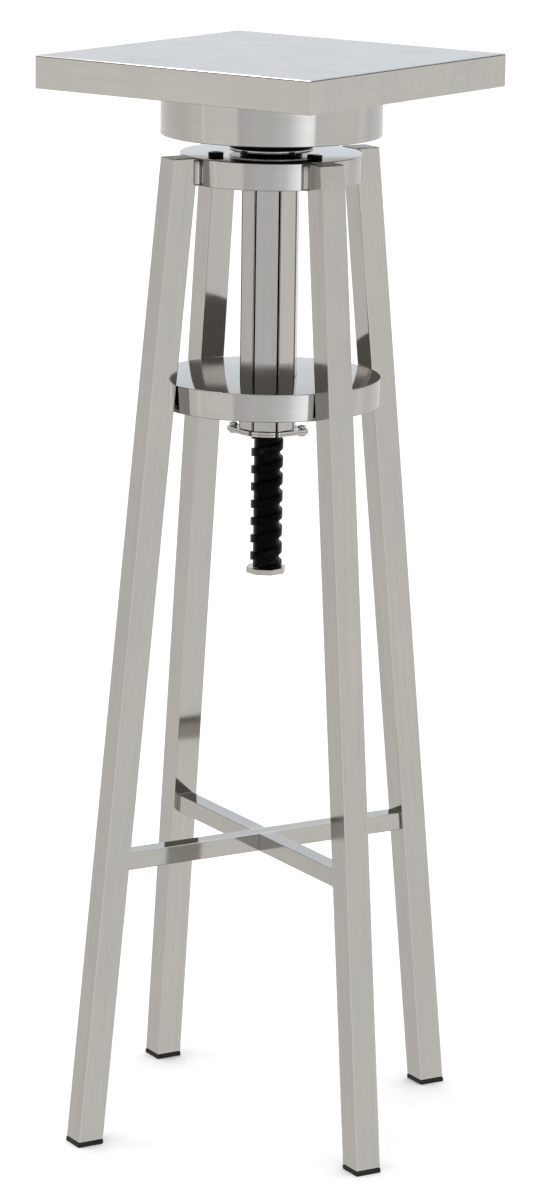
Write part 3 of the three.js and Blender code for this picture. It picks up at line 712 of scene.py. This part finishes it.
def threaded_rod(bottom, top):
    """The threaded length: columns of points that climb with the helix, flat at both ends."""
    crest = RIDGE_WIDTH / 2
    marks = [crest - EDGE, crest - EDGE / 3, crest, crest + 0.00005, crest + EDGE / 3, crest + EDGE]
    levels = sorted([PITCH - mark for mark in marks] + marks)
    made = bmesh.new()
    first = math.floor((bottom - RIDGE_HEIGHT_AT_X) / PITCH) - 2
    last = math.ceil((top - RIDGE_HEIGHT_AT_X) / PITCH) + 2
    columns = []
    for step in range(SCREW_STEPS + 1):
        angle = 360 * step / SCREW_STEPS
        column = []
        for turn in range(first, last):
            for level in levels:
                height = RIDGE_HEIGHT_AT_X + PITCH * (turn + angle / 360) + level
                height = min(max(height, bottom), top)
                radius = thread_radius(height, angle)
                column.append(made.verts.new((*around(radius, angle), height)))
        columns.append(column)
    for left, right in zip(columns, columns[1:]):
        for index in range(len(left) - 1):
            made.faces.new((left[index], right[index], right[index + 1], left[index + 1]))
    bmesh.ops.remove_doubles(made, verts=made.verts, dist=2e-7)
    rims = [edge for edge in made.edges if edge.is_boundary]
    bmesh.ops.contextual_create(made, geom=[edge for edge in rims if edge.verts[0].co.z < bottom + 1e-6])
    bmesh.ops.contextual_create(made, geom=[edge for edge in rims if edge.verts[0].co.z > top - 1e-6])
    bmesh.ops.recalc_face_normals(made, faces=made.faces)
    return made


def eased_rod(radius, bottom, top):
    """A round length on the axis with eased edges."""
    ease = 0.0004
    rings = [(radius - ease, bottom), (radius, bottom + ease), (radius, top - ease), (radius - ease, top)]
    return stack(rings, sides=SCREW_STEPS)


def make_screw():
    low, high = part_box("screw_spindle")
    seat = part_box("turn_plate")[1].z
    stub_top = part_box("spindle_nut")[1].z + STUB_ABOVE_NUT
    shafts = [
        eased_rod(MAJOR_RADIUS, THREAD_TOP - 0.003, THREAD_TOP),
        eased_rod(NECK_RADIUS, THREAD_TOP - 0.002, seat),
        eased_rod(STUB_RADIUS, seat - 0.002, stub_top),
        eased_rod(PIN_RADIUS, stub_top - 0.002, high.z),
    ]
    screw = joined(threaded_rod(low.z, THREAD_TOP), *shafts)
    screw = cut(screw, rod(STOP_SCREW_RADIUS + GAP, low.z - PAST, low.z + STOP_HOLE_DEPTH))
    add_piece("screw_spindle", screw, ["screw"], limit=40.0)


def make_stop():
    place = turned_by(COLUMN_TURN)
    add_piece("end_stop", cad_copy("end_stop"), ["top", "edge"], place, bevel=0.0006)
    low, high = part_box("stop_screw")
    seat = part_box("end_stop")[0].z + STOP_HEAD_DEPTH
    head = eased_rod(STOP_HEAD_RADIUS, low.z, seat)
    whole = joined(head, eased_rod(STOP_SCREW_RADIUS, seat - PAST, high.z))
    socket = rod(STOP_SOCKET, low.z - PAST, low.z + STOP_SOCKET_DEPTH, sides=6)
    add_piece("stop_screw", cut(whole, socket), ["satin", "satin_edge"], bevel=0.0002)


def plain_ring(node, bore, ease, materials):
    low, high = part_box(node)
    radius = high.x
    outline = [(bore, low.z), (bore, high.z), (radius, high.z), (radius, low.z)]
    add_piece(node, turned(filleted(outline, ease)), materials)


def make_drum():
    plain_ring("thrust_washer", WASHER_BORE, 0.0007, ["turned"])
    plain_ring("hub", DRUM_BORE, 0.0008, ["black"])
    plain_ring("turn_plate", DRUM_BORE, 0.0006, ["satin"])
    low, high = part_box("drum_shell")
    inside = DRUM_RADIUS - DRUM_WALL
    lip = DRUM_RADIUS - DRUM_LIP
    outline = [(DRUM_BORE, low.z), (DRUM_RADIUS, low.z), (DRUM_RADIUS, high.z), (lip, high.z),
               (lip, high.z - DRUM_WALL), (inside, high.z - DRUM_WALL), (inside, low.z + DRUM_WALL),
               (DRUM_BORE, low.z + DRUM_WALL)]
    add_piece("drum_shell", turned(filleted(outline, 0.0011)), ["turned"])


# ---------------------------------------------------------------------------------------------------
# Bearing and square top
# ---------------------------------------------------------------------------------------------------


def make_bearing():
    low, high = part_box("ball_cage")
    middle = (low.z + high.z) / 2
    bottom = middle - CAGE_THICKNESS / 2
    top = middle + CAGE_THICKNESS / 2
    outline = [(CAGE_INNER, bottom), (CAGE_OUTER, bottom), (CAGE_OUTER, top), (CAGE_INNER, top)]
    balls = []
    for number in range(BALL_COUNT):
        ball = bmesh.new()
        bmesh.ops.create_uvsphere(ball, u_segments=32, v_segments=20, radius=BALL_RADIUS)
        ball.transform(Matrix.Translation((*around(BALL_CIRCLE, 360 * number / BALL_COUNT), middle)))
        balls.append(ball)
    cage = joined(turned(filleted(outline, 0.0004)), *balls)
    add_piece("ball_cage", cage, ["satin"], limit=40.0)


def make_top():
    """The folded tray has a broad bend along its long edges and a ground weld at each corner."""
    place = turned_by(PLATTER_TURN)
    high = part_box("platter_shell")[1]
    building = cad_copy("platter_shell")
    building.faces.ensure_lookup_table()
    weights = building.edges.layers.float.new("bevel_weight_edge")
    for edge in building.edges:
        first, second = (vert.co.z for vert in edge.verts)
        folded = min(first, second) > high.z - 1e-5
        edge[weights] = 0.45 if abs(first - second) > 0.01 else (1.0 if folded else 0.2)
    shell = add_piece("platter_shell", building, ["top", "edge"], place, bevel=0.0022, steps=4)
    shell.modifiers["rounding"].limit_method = "WEIGHT"
    add_piece("platter_core", cad_copy("platter_core"), ["board"], place, bevel=0.0006)


def carry_over():
    """Hidden or plain nodes keep their CAD shape and take a finished material."""
    finishes = {"satin_steel": "satin", "polished_steel": "turned", "black_steel": "black",
                "black_rubber": "rubber", "board": "board"}
    for node, made in NODES.items():
        if made.hide_render:
            continue
        made.data.materials.clear()
        made.data.materials.append(MATERIALS[finishes[SLOTS[node]]])


# ---------------------------------------------------------------------------------------------------
# Studio: pale floor, soft surroundings, camera
# ---------------------------------------------------------------------------------------------------

FLOOR_RADIUS = 60.0
ROOM_LIGHT = 1.19
CEILING = (1.6, 1.6, 1.6)
ABOVE_PANELS = (0.20, 0.193, 0.185)
UNDERNEATH = (0.22, 0.212, 0.204)
BACK_WALL = (0.715, 0.755, 0.80)

# Where each zone of the surroundings fades in: compass angles in degrees, heights as the sine of elevation.
BACK_WALL_SIDES = ((50, 62), (158, 146))
BACK_WALL_FOOT = (0.0, 0.08)
PANEL_TOPS = (0.05, 0.08)
FLOOR_STARTS = (-0.50, -0.62)
CEILING_STARTS = (0.50, 0.78)

# How bright the surroundings look in polished steel, by compass angle: a plain room with one soft panel
# from -110 to -30 degrees that brightens towards its right edge, and narrow bright strips at -150 and 31.
SURROUNDINGS = (
    (-180, (0.72, 0.71, 0.69)),
    (-163, (0.79, 0.775, 0.755)),
    (-153.5, (0.80, 0.78, 0.765)),
    (-151, (0.94, 0.925, 0.91)),
    (-149.5, (0.92, 0.905, 0.89)),
    (-147, (0.84, 0.82, 0.80)),
    (-131, (0.88, 0.855, 0.84)),
    (-111.5, (0.87, 0.86, 0.845)),
    (-109.5, (0.65, 0.635, 0.65)),
    (-90, (0.715, 0.72, 0.73)),
    (-75, (0.70, 0.715, 0.72)),
    (-57, (0.84, 0.865, 0.88)),
    (-48, (1.14, 1.18, 1.22)),
    (-38, (1.44, 1.46, 1.54)),
    (-31, (1.37, 1.38, 1.45)),
    (-29, (0.80, 0.815, 0.815)),
    (-8, (0.845, 0.835, 0.815)),
    (14, (0.845, 0.835, 0.815)),
    (24, (0.815, 0.81, 0.80)),
    (31, (0.91, 0.905, 0.89)),
    (45, (0.74, 0.745, 0.745)),
    (62, (0.77, 0.775, 0.78)),
    (150, (0.73, 0.715, 0.705)),
    (180, (0.72, 0.71, 0.69)),
)


def make_world():
    world = bpy.data.worlds.new("studio")
    bpy.context.scene.world = world
    world.use_nodes = True
    tree = world.node_tree
    background = tree.nodes["Background"]

    def node(kind, inputs=None, **settings):
        return add_node(tree, kind, inputs, **settings)

    def step(value, start, end):
        """0 before `start` and 1 past `end`, whichever way round they are."""
        inputs = {"Value": value, "From Min": start, "From Max": end}
        return node("MapRange", inputs, interpolation_type="SMOOTHSTEP").outputs[0]

    def mix(factor, first, second):
        """`first` where the factor is 0, and `second` where it is 1."""
        made = node("Mix", {"Factor": factor}, data_type="RGBA")
        for socket, value in ((made.inputs[6], first), (made.inputs[7], second)):
            if isinstance(value, bpy.types.NodeSocket):
                tree.links.new(value, socket)
            else:
                socket.default_value = (*value, 1.0)
        return made.outputs[2]

    direction = node("TexCoord").outputs["Generated"]
    x, y, z = node("SeparateXYZ", {0: direction}).outputs
    compass = node("Math", {0: y, 1: x}, operation="ARCTAN2").outputs[0]
    share = node("MapRange", {"Value": compass, "From Min": -math.pi, "From Max": math.pi}).outputs[0]
    room = node("ValToRGB", {"Fac": share})
    fill_ramp(room, [((angle + 180) / 360, colour) for angle, colour in SURROUNDINGS])
    right, left = ([math.radians(angle) for angle in side] for side in BACK_WALL_SIDES)
    behind = node("Math", {0: step(compass, *right), 1: step(compass, *left)}, operation="MULTIPLY")
    behind = node("Math", {0: behind.outputs[0], 1: step(z, *BACK_WALL_FOOT)}, operation="MULTIPLY")
    colour = mix(step(z, *PANEL_TOPS), room.outputs["Color"], ABOVE_PANELS)
    colour = mix(behind.outputs[0], colour, BACK_WALL)
    colour = mix(step(z, *FLOOR_STARTS), colour, UNDERNEATH)
    colour = mix(step(z, *CEILING_STARTS), colour, CEILING)
    tree.links.new(colour, background.inputs["Color"])
    background.inputs["Strength"].default_value = ROOM_LIGHT


LAMP_SIZE = 0.20
LAMP_POWER = 2.0
LAMP_TOWARD = (-0.55, 0.06, 0.84)
LAMP_DISTANCE = 0.75
LAMP_TARGET = (-0.075, -0.165)


def make_lamp():
    """A small soft lamp above the left of the top, which catches its folded edge."""
    data = bpy.data.lights.new("edge_lamp", "AREA")
    data.size = LAMP_SIZE
    data.energy = LAMP_POWER
    lamp = bpy.data.objects.new("edge_lamp", data)
    bpy.context.scene.collection.objects.link(lamp)
    target = Vector((*LAMP_TARGET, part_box("platter_shell")[1].z))
    toward = Vector(LAMP_TOWARD).normalized()
    lamp.location = target + LAMP_DISTANCE * toward
    lamp.rotation_mode = "QUATERNION"
    lamp.rotation_quaternion = toward.to_track_quat("Z", "Y")
    lamp.visible_camera = False


def make_floor():
    building = bmesh.new()
    bmesh.ops.create_circle(building, cap_ends=True, segments=96, radius=FLOOR_RADIUS)
    floor = as_object("floor", building)
    made = Surface("floor_paper", metallic=0.0)
    tone = made.noise(made.place, detail=2.0, scale=0.6)
    made.set("Base Color", made.colours(tone, ((0.3, (0.93, 0.93, 0.93)), (0.7, (0.95, 0.95, 0.95)))))
    made.set("Roughness", 0.9)
    floor.data.materials.append(made.material)
    floor.visible_glossy = False


CAMERA_PLACE = (1.21662, -4.69519, 1.71549)
CAMERA_LENS = 134.12
CAMERA_AZIMUTH = 14.527
CAMERA_ELEVATION = 12.952
CAMERA_YAW = -0.079
CAMERA_PITCH = -0.018
CAMERA_ROLL = 0.762


def make_camera():
    azimuth = math.radians(CAMERA_AZIMUTH)
    elevation = math.radians(CAMERA_ELEVATION)
    right = Vector((math.cos(azimuth), math.sin(azimuth), 0))
    back = Vector((
        math.sin(azimuth) * math.cos(elevation),
        -math.cos(azimuth) * math.cos(elevation),
        math.sin(elevation),
    ))
    up = back.cross(right)
    facing = Matrix((right, up, back)).transposed().to_4x4()
    facing = facing @ Matrix.Rotation(math.radians(CAMERA_YAW), 4, "Y")
    facing = facing @ Matrix.Rotation(math.radians(CAMERA_PITCH), 4, "X")
    facing = facing @ Matrix.Rotation(math.radians(CAMERA_ROLL), 4, "Z")
    data = bpy.data.cameras.new("camera")
    data.lens = CAMERA_LENS
    data.sensor_width = 36.0
    data.clip_end = 500.0
    camera = bpy.data.objects.new("camera", data)
    bpy.context.scene.collection.objects.link(camera)
    camera.matrix_world = Matrix.Translation(CAMERA_PLACE) @ facing
    bpy.context.scene.camera = camera


make_legs()
make_bars()
make_column()
make_ring_and_plate()
make_ring_screws()
make_flange_bolts()
make_welds()
make_foot_of_column()
make_screw()
make_stop()
make_drum()
make_bearing()
make_top()
carry_over()
make_world()
make_lamp()
make_floor()
make_camera()
bpy.context.scene.view_settings.view_transform = "Standard"
